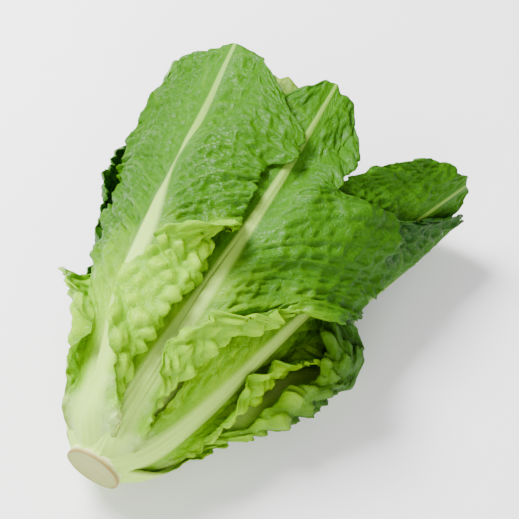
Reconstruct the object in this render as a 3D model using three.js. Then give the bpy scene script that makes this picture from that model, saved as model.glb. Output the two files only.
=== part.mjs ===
// A head of romaine lettuce lying on its side, cut off flat at the stem.
// Each leaf is one closed sheet with a thick midrib, and each lies on the leaves inside it.
// Millimetres and degrees. The head is laid out round its own axis, +X from the cut face to the tips,
// with Z up and Y to the left, and the finished group stands on z = 0.
import * as THREE from "three";

// Stem
const STEM_RADIUS = 17.3; // radius of the cut face
const CUT_DISC_LENGTH = 2.6; // the round slice behind the cut face, with the leaf bases behind it
const CORE_RADIUS = 11.4; // the core just behind the slice
const CORE_TIP_RADIUS = 2;
const CORE_LENGTH = 72;

// Leaves
const LEAF_LENGTH = 290; // an outer leaf, along its midrib
const LEAF_HALF_WIDTH = 50; // an outer leaf, from midrib to margin, flattened out
const BLADE_THICKNESS = 1.2;
const RIB_THICKNESS = 3.4; // what the midrib adds to the blade at the base of an outer leaf
const RIB_HALF_WIDTH = 10.5;
const RIB_TIP_HALF_WIDTH = 1.2;
const LEAF_GAP = 1.3; // least distance from a leaf to the one inside it, or to the core
const FOLD_WIDTH = 0.24 * LEAF_HALF_WIDTH; // arc of blade that a rolled margin turns on
const FOLD_CLEAR_OF_RIB = 0.25; // the nearest to the midrib that it starts, as a share of the half width

// The round head is spread out sideways and lowered as it opens, at these distances along its axis.
const SPREAD_AT = [0, 20, 60, 120, 200, 300];
const SPREAD_LEFT = [1, 1, 1.02, 1.1, 1.2, 1.26];
const SPREAD_RIGHT = [1, 1, 0.98, 0.97, 1, 1.04];
const SPREAD_UPWARDS = [1, 1, 0.95, 0.86, 0.79, 0.78];
const SAG = [3, 0, -1, -1, 2, 7];
const RISE = 0.03; // the axis climbs towards the tips, because the head lies on its fattest part
const PRESS_BELOW = -5; // under this height the head's own weight squashes it, more and more
const PRESS_EASE = 25;
const PRESS_SHARE = 0.6;
const REST_DEPTH = 1.2; // how much of the lowest leaf is pressed flat where the head rests
const REST_LAYER = 0.3; // thickness of that leaf there, and of the gap and the leaf over it

// Stations along a leaf, from 0 at its base to 1 at its tip
const LEAN_AT = [0, 0.035, 0.12, 0.35, 0.7, 1]; // angle from the axis, outwards
const YAW_AT = [0, 0.35, 0.7, 1]; // sideways angle, to the left
const WIDTH_AT = [0, 0.12, 0.3, 0.5, 0.68, 0.85, 1];
const ROLL_AT = [0, 0.12, 0.28, 0.44, 0.58, 0.72, 1];

const SLIM = [0.2, 0.26, 0.5, 0.8, 1, 0.9, 0.58];
const BROAD = [0.19, 0.32, 0.8, 0.96, 1, 0.92, 0.58];
const STRAIGHT = [0, 0, 0, 0];
const FLAT_MARGIN = { angle: [0, 0, 0, 0, 0, 0, 0], strip: [0, 0, 0, 0, 0, 0, 0] };
const LONG_ROLL = { angle: [0, 70, 175, 165, 30, 0, 0], strip: [0, 0.2, 0.34, 0.34, 0.28, 0.2, 0] };
const MIDDLE_ROLL = { angle: [0, 70, 165, 90, 0, 0, 0], strip: [0, 0.2, 0.36, 0.32, 0.2, 0, 0] };
const LOW_ROLL = { angle: [0, 70, 150, 20, 0, 0, 0], strip: [0, 0.2, 0.3, 0.1, 0, 0, 0] };
const SHORT_ROLL = { angle: [0, 70, 165, 150, 60, 0, 0], strip: [0, 0.2, 0.38, 0.36, 0.2, 0, 0] };

const LEAF_DEFAULTS = {
  length: 1, // shares of an outer leaf's sizes
  leftWidth: 1,
  rightWidth: 1,
  rib: 1,
  outline: SLIM,
  rightOutline: null, // where the right half differs from the outline
  rightWrap: 1, // how closely the right half wraps round the head
  lobe: 0, // how far forward a lobe of the right half grows, below the notch
  notch: 0, // how deep the right margin dips in below the tip
  start: 3.8, // where the base sits along the stem
  yaw: STRAIGHT,
  tilt: 0, // turn about the midrib, left margin outwards
  left: FLAT_MARGIN,
  right: FLAT_MARGIN,
  rows: 18,
  columns: 18,
};

const INNER_LEAVES = 9;
const GOLDEN_ANGLE = 137.5;

// The heart opens outwards in golden-angle steps, so the first of these is the smallest leaf.
function innerLeaf(k) {
  const share = k / (INNER_LEAVES - 1);
  return {
    name: `inner_leaf_${INNER_LEAVES - k}`,
    turn: 20 + GOLDEN_ANGLE * k,
    length: 0.41 + 0.34 * share,
    leftWidth: 0.44 + 0.48 * share,
    rightWidth: 0.44 + 0.48 * share,
    rib: 0.55 + 0.3 * share,
    lean: [8, 12 + 20 * share, 8 + 8 * share, 3 + 4 * share, 1 + 4 * share, 16 * share - 8],
    start: 66 - 42 * share,
    rows: 8,
    columns: 6,
  };
}

const MIDDLE_LEAVES = [
  { turn: 62, length: 0.86, yaw: [0, 2, 4, 6] },
  { turn: -40, length: 0.76, yaw: [0, -2, -4, -6] },
  { turn: -95, length: 0.79, yaw: [0, 0, -2, -2] },
  { turn: -148, length: 0.79 },
  { turn: 158, length: 0.79 },
  { turn: 108, length: 0.81, yaw: [0, 2, 3, 2] },
  { turn: 12, length: 0.905, yaw: [0, 1, 3, 6] },
].map((leaf, k) => ({
  name: `middle_leaf_${k + 1}`,
  leftWidth: 0.92,
  rightWidth: 0.92,
  rib: 0.85,
  lean: [10, 38, 25, 10, 6, 8],
  start: 13,
  rows: 10,
  columns: 8,
  ...leaf,
}));

const OUTER_LEAVES = [
  {
    name: "right_leaf",
    turn: -64,
    leftWidth: 1.1,
    rightWidth: 1.12,
    outline: [0.19, 0.32, 0.8, 0.92, 1, 1, 0.74],
    lean: [8, 48, 28, 12, 13, 10],
    yaw: [0, -3, -8, -16],
    tilt: -8,
    right: LONG_ROLL,
  },
  {
    name: "right_side_leaf",
    turn: -106,
    length: 0.94,
    leftWidth: 0.84,
    rightWidth: 1.04,
    outline: BROAD,
    lean: [8, 47, 22, 1, 7, 12],
    left: SHORT_ROLL,
  },
  {
    name: "centre_leaf",
    turn: -12,
    length: 0.96,
    leftWidth: 0.96,
    rightWidth: 1.24,
    outline: [0.19, 0.32, 0.8, 0.96, 1, 0.7, 0.5],
    rightOutline: [0.19, 0.32, 0.8, 1.16, 0.96, 0.56, 0.5],
    rightWrap: 0.6,
    lobe: 0.5,
    notch: 0.25,
    lean: [8, 48, 29, 11, 6, 8],
    yaw: [0, 1, 2, 4],
    tilt: -12,
    right: MIDDLE_ROLL,
  },
  {
    name: "left_side_leaf",
    turn: 70,
    length: 0.98,
    leftWidth: 1.1,
    rightWidth: 1.1,
    lean: [8, 48, 30, 13, 10, 8],
    yaw: [0, 3, 8, 10],
  },
  {
    name: "left_leaf",
    turn: 24,
    length: 0.985,
    leftWidth: 1.3,
    rightWidth: 1.3,
    outline: [0.19, 0.32, 0.8, 0.98, 1.04, 1, 0.64],
    rightOutline: [0.19, 0.42, 0.92, 0.66, 0.68, 0.9, 0.62],
    lean: [8, 50, 29, 11, 6, 6],
    yaw: [0, 4, 9, 3],
    left: LOW_ROLL,
    right: LONG_ROLL,
  },
  {
    name: "lower_left_leaf",
    turn: 126,
    length: 0.88,
    leftWidth: 0.96,
    rightWidth: 0.96,
    lean: [8, 50, 29, 11, 6, 4],
    rows: 14,
    columns: 14,
  },
  { name: "under_leaf", turn: 172, length: 0.88, lean: [8, 48, 29, 9, 4, 2], rows: 14, columns: 14 },
];

// From the heart outwards, because each leaf is laid over the ones before it.
const LEAVES = [
  ...Array.from({ length: INNER_LEAVES }, (_, k) => innerLeaf(k)),
  ...MIDDLE_LEAVES,
  ...OUTER_LEAVES,
].map((leaf) => ({ ...LEAF_DEFAULTS, ...leaf }));

const { clamp, degToRad, lerp } = THREE.MathUtils;

function ramp(x, from, to) {
  const t = clamp((x - from) / (to - from), 0, 1);
  return t * t * (3 - 2 * t);
}

// A smooth curve through values at stations, held level past its ends.
function curve(stations, values, at) {
  const last = stations.length - 1;
  const slope = (k) => {
    const a = Math.max(k - 1, 0);
    const b = Math.min(k + 1, last);
    return (values[b] - values[a]) / (stations[b] - stations[a]);
  };
  const x = clamp(at, stations[0], stations[last]);
  let k = 0;
  while (k < last - 1 && x > stations[k + 1]) k += 1;
  const h = stations[k + 1] - stations[k];
  const t = (x - stations[k]) / h;
  return (
    (2 * t ** 3 - 3 * t ** 2 + 1) * values[k] +
    (t ** 3 - 2 * t ** 2 + t) * h * slope(k) +
    (3 * t ** 2 - 2 * t ** 3) * values[k + 1] +
    (t ** 3 - t ** 2) * h * slope(k + 1)
  );
}

function coreRadius(x) {
  const share = clamp((x - CUT_DISC_LENGTH) / (CORE_LENGTH - CUT_DISC_LENGTH), 0, 1);
  return lerp(CORE_RADIUS, CORE_TIP_RADIUS, share);
}

// Frames down a leaf's midrib: a point, the way along, the way out and the way to the left.
const MIDRIB_STEPS = 60;

function midrib(leaf) {
  const turn = degToRad(leaf.turn);
  const axis = new THREE.Vector3(1, 0, 0);
  const outwards = new THREE.Vector3(0, Math.sin(turn), Math.cos(turn));
  const sideways = new THREE.Vector3(0, Math.cos(turn), -Math.sin(turn));
  const step = (leaf.length * LEAF_LENGTH) / MIDRIB_STEPS;
  const point = outwards.clone().multiplyScalar(coreRadius(leaf.start) + LEAF_GAP);
  point.x = leaf.start;
  const frames = [];
  for (let i = 0; i <= MIDRIB_STEPS; i += 1) {
    const s = i / MIDRIB_STEPS;
    const lean = degToRad(curve(LEAN_AT, leaf.lean, s));
    const yaw = degToRad(curve(YAW_AT, leaf.yaw, s));
    const along = new THREE.Vector3()
      .addScaledVector(axis, Math.cos(yaw) * Math.cos(lean))
      .addScaledVector(outwards, Math.cos(yaw) * Math.sin(lean))
      .addScaledVector(sideways, Math.sin(yaw));
    const out = outwards.clone().multiplyScalar(Math.cos(lean)).addScaledVector(axis, -Math.sin(lean));
    const left = out.clone().cross(along).normalize();
    left.applyAxisAngle(along, -degToRad(leaf.tilt));
    out.applyAxisAngle(along, -degToRad(leaf.tilt));
    if (i > 0) point.addScaledVector(along, step);
    frames.push({ point: point.clone(), along, out, left });
  }
  return frames;
}

function frameAt(frames, s) {
  const at = clamp(s, 0, 1) * MIDRIB_STEPS;
  const k = Math.min(Math.floor(at), MIDRIB_STEPS - 1);
  const mix = (key) => frames[k][key].clone().lerp(frames[k + 1][key], at - k);
  return { point: mix("point"), along: mix("along"), out: mix("out"), left: mix("left") };
}

// The flattened leaf: u runs from base to tip and v from the right margin, -1, to the left one, 1.
const VEIN_SWEEP = 0.75; // how far forward the blade grows for each millimetre out from the midrib
const TIP_ROUNDING = 0.5;
const LOBE_AT = 0.68;
const NOTCH_AT = 0.8;
const NOTCH_LENGTH = 0.1;

function pattern(leaf, u, v) {
  const half = LEAF_HALF_WIDTH * (v >= 0 ? leaf.leftWidth : leaf.rightWidth);
  const dip = v < 0 ? leaf.notch * Math.exp(-(((u - NOTCH_AT) / NOTCH_LENGTH) ** 2)) : 0;
  const lobe = v < 0 ? leaf.lobe * Math.exp(-(((u - LOBE_AT) / NOTCH_LENGTH) ** 2)) : 0;
  const outline = (v < 0 && leaf.rightOutline) || leaf.outline;
  const width = half * curve(WIDTH_AT, outline, u) * (1 - dip);
  const forward = VEIN_SWEEP * ramp(u, 0.02, 0.25) * (1 - ramp(u, 0.35, 0.85)) + lobe;
  const sweep = width * Math.abs(v) * forward;
  const drop = TIP_ROUNDING * half * ramp(u, 0.55, 1) * Math.abs(v) ** 2.2;
  const length = leaf.length * LEAF_LENGTH;
  return { s: (length * u + sweep - drop) / length, across: v * width, width };
}

function thickness(leaf, s, across) {
  const t = clamp(s, 0, 1);
  const half = leaf.rib * RIB_HALF_WIDTH * (1 - t) ** 1.15 + RIB_TIP_HALF_WIDTH;
  const share = clamp(1 - (across / half) ** 2, 0, 1) ** 0.8;
  return BLADE_THICKNESS + leaf.rib * RIB_THICKNESS * (1 - t) ** 1.2 * share;
}

// One point of a leaf's inner face, found by walking out from the midrib along its bending section.
const SECTION_STEPS = 40;

function surfacePoint(leaf, frames, u, v) {
  const { s, across, width } = pattern(leaf, u, v);
  const { point, along, out, left } = frameAt(frames, s);
  point.addScaledVector(along, (s - clamp(s, 0, 1)) * leaf.length * LEAF_LENGTH);
  const side = v >= 0 ? 1 : -1;
  const margin = v >= 0 ? leaf.left : leaf.right;
  const rollAngle = degToRad(curve(ROLL_AT, margin.angle, s));
  const foldTo = width * (1 - curve(ROLL_AT, margin.strip, s));
  const foldFrom = Math.max(foldTo - FOLD_WIDTH, FOLD_CLEAR_OF_RIB * width);
  const wrap = v < 0 ? leaf.rightWrap : 1;
  const wrapRadius = Math.max(Math.hypot(point.y, point.z), 8) / wrap;
  const step = Math.abs(across) / SECTION_STEPS;
  let angle = 0;
  let roll = 0;
  let sideways = 0;
  let outwards = 0;
  for (let k = 1; k <= SECTION_STEPS; k += 1) {
    const next = rollAngle * ramp(k * step, foldFrom, foldTo);
    angle += next - roll - (Math.cos(roll) * step) / wrapRadius;
    roll = next;
    sideways += Math.cos(angle) * step;
    outwards += Math.sin(angle) * step;
  }
  const normal = left.clone().multiplyScalar(-side * Math.sin(angle)).addScaledVector(out, Math.cos(angle));
  point.addScaledVector(left, side * sideways).addScaledVector(out, outwards);
  return { point, normal, roll, thick: thickness(leaf, s, across) };
}

// How far out from the axis the leaves laid so far reach, in cells of distance along it and turn round it.
const CELL_LENGTH = 2.5;
const CELL_TURN = degToRad(4);
const CELLS_LONG = 160;
const CELLS_ROUND = 90;
const CELLS_FROM = -10;

const reach = new Float64Array(CELLS_LONG * CELLS_ROUND);

function cellOf(p) {
  const x = clamp((p.x - CELLS_FROM) / CELL_LENGTH, 0, CELLS_LONG - 2);
  const turn = Math.atan2(p.y, p.z) / CELL_TURN + CELLS_ROUND;
  const i = Math.floor(x);
  const j = Math.floor(turn) % CELLS_ROUND;
  const at = (di, dj) => (i + di) * CELLS_ROUND + ((j + dj) % CELLS_ROUND);
  return { fx: x - i, ft: turn - Math.floor(turn), cells: [at(0, 0), at(0, 1), at(1, 0), at(1, 1)] };
}

function layDown(p) {
  const distance = Math.hypot(p.y, p.z);
  for (const cell of cellOf(p).cells) reach[cell] = Math.max(reach[cell], distance);
}

function layDownCore() {
  for (let x = 2 * CUT_DISC_LENGTH; x < CORE_LENGTH; x += 1) {
    const radius = coreRadius(x);
    for (let k = 0; k < CELLS_ROUND; k += 1) {
      const turn = CELL_TURN * (k + 0.5);
      layDown(new THREE.Vector3(x, radius * Math.sin(turn), radius * Math.cos(turn)));
    }
  }
}

function reachAt(p) {
  const { fx, ft, cells } = cellOf(p);
  const [a, b, c, d] = cells.map((cell) => reach[cell]);
  return lerp(lerp(a, b, ft), lerp(c, d, ft), fx);
}

// Points between a sheet's own, close enough together that no cell under it is missed.
const FILL = 10;

// Visits points all over a sheet's triangles, if all three corners count, and says which corners they are.
function overSheet(grid, counts, face, visit) {
  const at = (i, j) => ({ i, j, node: grid[i][j] });
  for (let i = 0; i + 1 < grid.length; i += 1) {
    for (let j = 0; j + 1 < grid[i].length; j += 1) {
      for (const middle of [at(i, j + 1), at(i + 1, j)]) {
        const corners = [at(i, j), middle, at(i + 1, j + 1)];
        if (!corners.every(({ node }) => counts(node))) continue;
        const [a, b, c] = corners.map(({ node }) => face(node));
        for (let m = 0; m <= FILL; m += 1) {
          for (let n = 0; n <= FILL - m; n += 1) {
            const p = a.clone().multiplyScalar(1 - (m + n) / FILL);
            p.addScaledVector(b, m / FILL).addScaledVector(c, n / FILL);
            visit(p, corners);
          }
        }
      }
    }
  }
}

// Spreads a sheet's pushes to its neighbours, so that it drapes and doesn't step.
const SOFTEN_ROUNDS = 2;

function soften(push) {
  let now = push;
  for (let round = 0; round < SOFTEN_ROUNDS; round += 1) {
    const at = (i, j) => now[clamp(i, 0, now.length - 1)][clamp(j, 0, now[0].length - 1)];
    now = now.map((row, i) =>
      row.map((own, j) => Math.max(own, (at(i - 1, j) + at(i + 1, j) + at(i, j - 1) + at(i, j + 1)) / 4)),
    );
  }
  return now;
}

// How far out from the axis a sheet's counted nodes go, for its triangles to clear everything laid so far.
function pushesFor(grid, counts, face) {
  const push = grid.map((row) => row.map(() => 0));
  overSheet(grid, counts, face, (p, corners) => {
    const under = reachAt(p);
    const short = under > 0 ? under + LEAF_GAP - Math.hypot(p.y, p.z) : 0;
    for (const { i, j } of corners) push[i][j] = Math.max(push[i][j], short);
  });
  return soften(push).map((row, i) => row.map((own, j) => (counts(grid[i][j]) ? own : 0)));
}

const FLAP_FROM = degToRad(80); // past this much roll, the margin is a flap that lies back over its own leaf
const isFlap = ({ roll }) => roll > FLAP_FROM;

// A flap moves with the blade that it turns back from.
function carryToFlaps(grid, push) {
  const middle = (grid[0].length - 1) / 2;
  grid.forEach((row, i) => {
    for (let k = 1; k <= middle; k += 1) {
      if (isFlap(row[middle + k])) push[i][middle + k] = push[i][middle + k - 1];
      if (isFlap(row[middle - k])) push[i][middle - k] = push[i][middle - k + 1];
    }
  });
  return push;
}

function pushOut(grid, push) {
  grid.forEach((row, i) =>
    row.forEach(({ point }, j) => {
      const share = 1 + push[i][j] / Math.max(Math.hypot(point.y, point.z), 1);
      point.set(point.x, point.y * share, point.z * share);
    }),
  );
}

const ROW_POWER = 1.25; // rows are closer together near the base

const innerFace = ({ point }) => point;
const outerFace = ({ point, normal, thick }) => point.clone().addScaledVector(normal, thick);

// Lays one leaf over the ones before it, and then its rolled margins over its own blade.
function layLeaf(leaf) {
  const frames = midrib(leaf);
  const grid = Array.from({ length: leaf.rows + 1 }, (_, i) =>
    Array.from({ length: leaf.columns + 1 }, (_, j) =>
      surfacePoint(leaf, frames, (i / leaf.rows) ** ROW_POWER, (2 * j) / leaf.columns - 1),
    ),
  );
  const isBlade = (node) => !isFlap(node);
  pushOut(grid, carryToFlaps(grid, pushesFor(grid, isBlade, innerFace)));
  overSheet(grid, isBlade, outerFace, layDown);
  pushOut(grid, pushesFor(grid, isFlap, outerFace));
  overSheet(grid, () => true, outerFace, layDown);
  overSheet(grid, () => true, innerFace, layDown);
  return grid;
}

function spread(p) {
  const z = p.z * curve(SPREAD_AT, SPREAD_UPWARDS, p.x) + curve(SPREAD_AT, SAG, p.x);
  const under = Math.max(0, PRESS_BELOW - z);
  const y = p.y * curve(SPREAD_AT, p.y > 0 ? SPREAD_LEFT : SPREAD_RIGHT, p.x);
  return new THREE.Vector3(p.x, y, z + (PRESS_SHARE * under ** 2) / (under + PRESS_EASE) + RISE * p.x);
}

// A closed sheet between two grids of points: two faces, and a rim round their edge.
function closedSheet(inner, outer) {
  const rows = inner.length;
  const columns = inner[0].length;
  const positions = [inner, outer].flat(2).flatMap((p) => [p.x, p.y, p.z]);
  const id = (layer, i, j) => (layer * rows + i) * columns + j;
  const faces = [];
  const quad = (a, b, c, d) => faces.push(a, b, c, a, c, d);
  for (let i = 0; i + 1 < rows; i += 1) {
    for (let j = 0; j + 1 < columns; j += 1) {
      quad(id(0, i, j), id(0, i, j + 1), id(0, i + 1, j + 1), id(0, i + 1, j));
      quad(id(1, i, j), id(1, i + 1, j), id(1, i + 1, j + 1), id(1, i, j + 1));
    }
  }
  const rim = [];
  for (let j = 0; j < columns; j += 1) rim.push([0, j]);
  for (let i = 1; i < rows; i += 1) rim.push([i, columns - 1]);
  for (let j = columns - 2; j >= 0; j -= 1) rim.push([rows - 1, j]);
  for (let i = rows - 2; i > 0; i -= 1) rim.push([i, 0]);
  rim.forEach(([i, j], k) => {
    const [m, n] = rim[(k + 1) % rim.length];
    quad(id(0, m, n), id(0, i, j), id(1, i, j), id(1, m, n));
  });
  const geometry = new THREE.BufferGeometry();
  geometry.setAttribute("position", new THREE.Float32BufferAttribute(positions, 3));
  geometry.setIndex(faces);
  geometry.computeVertexNormals();
  return geometry;
}

// The core with its cut face at x = 0, as a turned solid whose own axis is laid along X.
function stemGeometry() {
  const profile = [
    new THREE.Vector2(0, 0),
    new THREE.Vector2(STEM_RADIUS, 0),
    new THREE.Vector2(STEM_RADIUS - 0.4, CUT_DISC_LENGTH),
    new THREE.Vector2(CORE_RADIUS, CUT_DISC_LENGTH),
    new THREE.Vector2(coreRadius(CORE_LENGTH / 2), CORE_LENGTH / 2),
    new THREE.Vector2(CORE_TIP_RADIUS, CORE_LENGTH),
    new THREE.Vector2(0, CORE_LENGTH),
  ];
  const geometry = new THREE.LatheGeometry(profile, 32).rotateZ(-Math.PI / 2);
  const positions = geometry.getAttribute("position");
  for (let i = 0; i < positions.count; i += 1) {
    const p = spread(new THREE.Vector3().fromBufferAttribute(positions, i));
    positions.setXYZ(i, p.x, p.y, p.z);
  }
  return geometry;
}

const stemMaterial = new THREE.MeshStandardMaterial({ color: 0xdfe3b8, roughness: 0.55, metalness: 0 });
const outerLeafMaterial = new THREE.MeshStandardMaterial({ color: 0x74a83c, roughness: 0.45, metalness: 0 });
const innerLeafMaterial = new THREE.MeshStandardMaterial({ color: 0xb4cf62, roughness: 0.45, metalness: 0 });

const head = new THREE.Group();

const stem = new THREE.Mesh(stemGeometry(), stemMaterial);
stem.name = "stem";
head.add(stem);

layDownCore();
const sheets = LEAVES.map((leaf) => {
  const grid = layLeaf(leaf);
  return {
    leaf,
    inner: grid.map((row) => row.map((node) => spread(innerFace(node)))),
    outer: grid.map((row) => row.map((node) => spread(outerFace(node)))),
  };
});

// The head settles until the leaf laid last is pressed flat on the surface under it.
const lowest = Math.min(...sheets.flatMap(({ outer }) => outer.flat().map((p) => p.z)));

sheets.forEach(({ leaf, inner, outer }, k) => {
  const outerFloor = lowest + REST_DEPTH + (k === sheets.length - 1 ? 0 : 2 * REST_LAYER);
  for (const p of outer.flat()) p.z = Math.max(p.z, outerFloor);
  for (const p of inner.flat()) p.z = Math.max(p.z, outerFloor + REST_LAYER);
  const isOuter = OUTER_LEAVES.some(({ name }) => name === leaf.name);
  const mesh = new THREE.Mesh(closedSheet(inner, outer), isOuter ? outerLeafMaterial : innerLeafMaterial);
  mesh.name = leaf.name;
  head.add(mesh);
});

const box = new THREE.Box3().setFromObject(head, true);
const centre = box.getCenter(new THREE.Vector3());
head.position.set(-centre.x, -centre.y, -box.min.z);

export default head;
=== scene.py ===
"""The look of a head of romaine lettuce on its side: every leaf, the cut stem, a floor and soft light.

Each leaf is a grid laid along a bending midrib, over the leaves inside it, and then given its thickness.
The working unit of the shapes is the millimetre, along the head's own axis: +X from the cut face to the tips.
"""

import functools
import math
from types import SimpleNamespace

import bpy
import numpy as np
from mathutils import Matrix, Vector


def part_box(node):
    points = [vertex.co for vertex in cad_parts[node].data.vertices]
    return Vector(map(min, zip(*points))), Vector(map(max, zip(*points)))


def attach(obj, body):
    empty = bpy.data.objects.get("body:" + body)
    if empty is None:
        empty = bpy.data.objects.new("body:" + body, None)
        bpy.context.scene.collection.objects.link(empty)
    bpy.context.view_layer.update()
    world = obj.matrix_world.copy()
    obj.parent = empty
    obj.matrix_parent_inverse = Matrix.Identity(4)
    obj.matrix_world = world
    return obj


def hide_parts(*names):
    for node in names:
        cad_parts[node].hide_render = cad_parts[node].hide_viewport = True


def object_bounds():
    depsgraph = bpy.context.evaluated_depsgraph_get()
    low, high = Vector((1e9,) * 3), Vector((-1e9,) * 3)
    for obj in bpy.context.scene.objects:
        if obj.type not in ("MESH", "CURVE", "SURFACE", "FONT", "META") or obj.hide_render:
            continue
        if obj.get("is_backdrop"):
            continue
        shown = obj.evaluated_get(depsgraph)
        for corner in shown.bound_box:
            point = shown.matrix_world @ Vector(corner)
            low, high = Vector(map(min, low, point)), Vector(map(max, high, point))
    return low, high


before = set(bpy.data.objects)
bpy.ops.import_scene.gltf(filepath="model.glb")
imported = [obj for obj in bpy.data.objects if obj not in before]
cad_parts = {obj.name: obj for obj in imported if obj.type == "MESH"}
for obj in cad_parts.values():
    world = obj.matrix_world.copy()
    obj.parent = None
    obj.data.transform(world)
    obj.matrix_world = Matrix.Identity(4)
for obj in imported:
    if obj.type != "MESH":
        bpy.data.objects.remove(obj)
cad_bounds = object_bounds()

bl_info = {
    "name": "Romaine lettuce head",
    "version": (1, 0, 0),
    "blender": (4, 5, 0),
    "location": "3D Viewport > Sidebar > Lettuce",
    "description": "Makes the leaves, the stem and the stage of a romaine lettuce head",
    "category": "Object",
}

MM = 0.001

# Stem, in millimetres
STEM_RADIUS = 17.3
CUT_DISC_LENGTH = 2.6
CORE_RADIUS = 11.4
CORE_TIP_RADIUS = 2
CORE_LENGTH = 72

# Leaves, in millimetres
RIB_HALF_WIDTH = 10.5
RIB_TIP_HALF_WIDTH = 1.2
BASE_GAP = 1.3
LEAF_GAP = 0.5
FOLD_WIDTH = 12
FOLD_CLEAR_OF_RIB = 0.25

# How the round head is spread out sideways and lowered, at distances along its axis
SPREAD_AT = [0, 20, 60, 120, 200, 300]
SPREAD_LEFT = [1, 1, 1.02, 1.1, 1.2, 1.26]
SPREAD_RIGHT = [1, 1, 0.98, 0.97, 1, 1.04]
SPREAD_UPWARDS = [1, 1, 0.95, 0.86, 0.79, 0.78]
SAG = [3, 0, -1, -1, 2, 7]
RISE = 0.03
PRESS_BELOW = -5
PRESS_EASE = 25
PRESS_SHARE = 0.6

# Stations along a leaf, from 0 at its base to 1 at its tip
LEAN_AT = [0, 0.035, 0.12, 0.35, 0.7, 1]
YAW_AT = [0, 0.35, 0.7, 1]
WIDTH_AT = [0, 0.12, 0.3, 0.5, 0.68, 0.85, 1]
ROLL_AT = [0, 0.12, 0.28, 0.44, 0.58, 0.72, 1]

SLIM = [0.2, 0.26, 0.5, 0.8, 1, 0.9, 0.58]
BROAD = [0.19, 0.32, 0.8, 0.96, 1, 0.92, 0.58]
FLAT_MARGIN = ([0, 0, 0, 0, 0, 0, 0], [0, 0, 0, 0, 0, 0, 0])
LONG_ROLL = ([0, 70, 175, 165, 30, 0, 0], [0, 0.2, 0.34, 0.34, 0.28, 0.2, 0])
MIDDLE_ROLL = ([0, 70, 165, 90, 0, 0, 0], [0, 0.2, 0.36, 0.32, 0.2, 0, 0])
SHORT_ROLL = ([0, 70, 165, 150, 60, 0, 0], [0, 0.2, 0.38, 0.36, 0.2, 0, 0])
LOW_ROLL = ([0, 70, 150, 20, 0, 0, 0], [0, 0.2, 0.3, 0.1, 0, 0, 0])

LEAF_DEFAULTS = {
    "length": 1,
    "left_width": 1,
    "right_width": 1,
    "rib": 1,
    "outline": SLIM,
    "right_outline": None,  # where the right half differs from the outline
    "wrap": (1, 1),  # how closely the left and the right half wrap round the head
    "lobe": 0,  # how far forward a lobe of the right half grows, below the notch
    "notch": 0,
    "start": 3.8,
    "yaw": [0, 0, 0, 0],
    "tilt": 0,
    "left": FLAT_MARGIN,
    "right": FLAT_MARGIN,
    "rows": 210,
    "columns": 150,
    "deep": 0,  # how dark and bluish the leaf is
    "crinkle": 1,
    "slot": "outer_leaf",
}

INNER_LEAVES = 9
GOLDEN_ANGLE = 137.5


def inner_leaf(k):
    """The k-th leaf of the heart, from the smallest."""
    share = k / (INNER_LEAVES - 1)
    return {
        "name": f"inner_leaf_{INNER_LEAVES - k}",
        "turn": 20 + GOLDEN_ANGLE * k,
        "length": 0.41 + 0.34 * share,
        "left_width": 0.44 + 0.48 * share,
        "right_width": 0.44 + 0.48 * share,
        "rib": 0.55 + 0.3 * share,
        "lean": [8, 12 + 20 * share, 8 + 8 * share, 3 + 4 * share, 1 + 4 * share, 16 * share - 8],
        "start": 66 - 42 * share,
        "rows": 80,
        "columns": 60,
        "crinkle": 0.6 + 0.3 * share,
        "slot": "inner_leaf",
    }


MIDDLE_LEAVES = [
    {
        "name": f"middle_leaf_{k + 1}",
        "left_width": 0.92,
        "right_width": 0.92,
        "rib": 0.85,
        "lean": [10, 38, 25, 10, 6, 8],
        "start": 13,
        "rows": 110,
        "columns": 80,
        "slot": "middle_leaf",
        **leaf,
    }
    for k, leaf in enumerate(
        [
            {"turn": 62, "length": 0.86, "yaw": [0, 2, 4, 6]},
            {"turn": -40, "length": 0.76, "yaw": [0, -2, -4, -6]},
            {"turn": -95, "length": 0.79, "yaw": [0, 0, -2, -2]},
            {"turn": -148, "length": 0.79},
            {"turn": 158, "length": 0.79},
            {"turn": 108, "length": 0.81, "yaw": [0, 2, 3, 2]},
            {"turn": 12, "length": 0.905, "yaw": [0, 1, 3, 6]},
        ]
    )
]

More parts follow.
